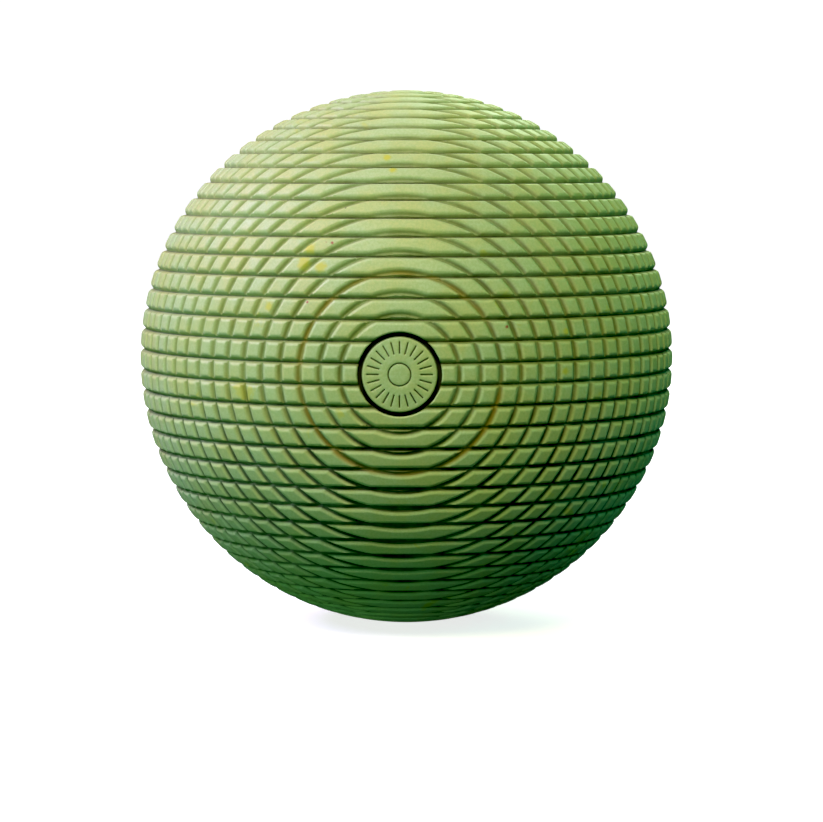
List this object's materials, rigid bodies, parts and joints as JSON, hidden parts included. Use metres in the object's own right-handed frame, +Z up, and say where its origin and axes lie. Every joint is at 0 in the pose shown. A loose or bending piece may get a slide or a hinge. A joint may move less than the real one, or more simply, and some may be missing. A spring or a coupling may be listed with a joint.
{
  "type": "croquet ball",
  "caption": "Solid ball for lawn croquet: moulded cover milled with crossing ring grooves, round pole plugs with engraved medallions, and a composition core.",
  "frame": {"origin": "centre of the ball", "axes": "+Z is up and is the axis of the level grooves; -Y is the axis of the front medallion; +X is to the right as seen from the front"},
  "size_m": [0.092, 0.092, 0.092],
  "materials": {
    "core_composition": "rough bonded cork",
    "cover_plastic": "satin moulded",
    "plug_plastic": "satin moulded",
    "medallion_plastic": "satin moulded"
  },
  "bodies": {
    "root": {"core": "core_composition", "front_cover": "cover_plastic", "rear_cover": "cover_plastic", "front_plug": "plug_plastic", "rear_plug": "plug_plastic", "front_medallion": "medallion_plastic", "rear_medallion": "medallion_plastic"}
  },
  "joints": []
}
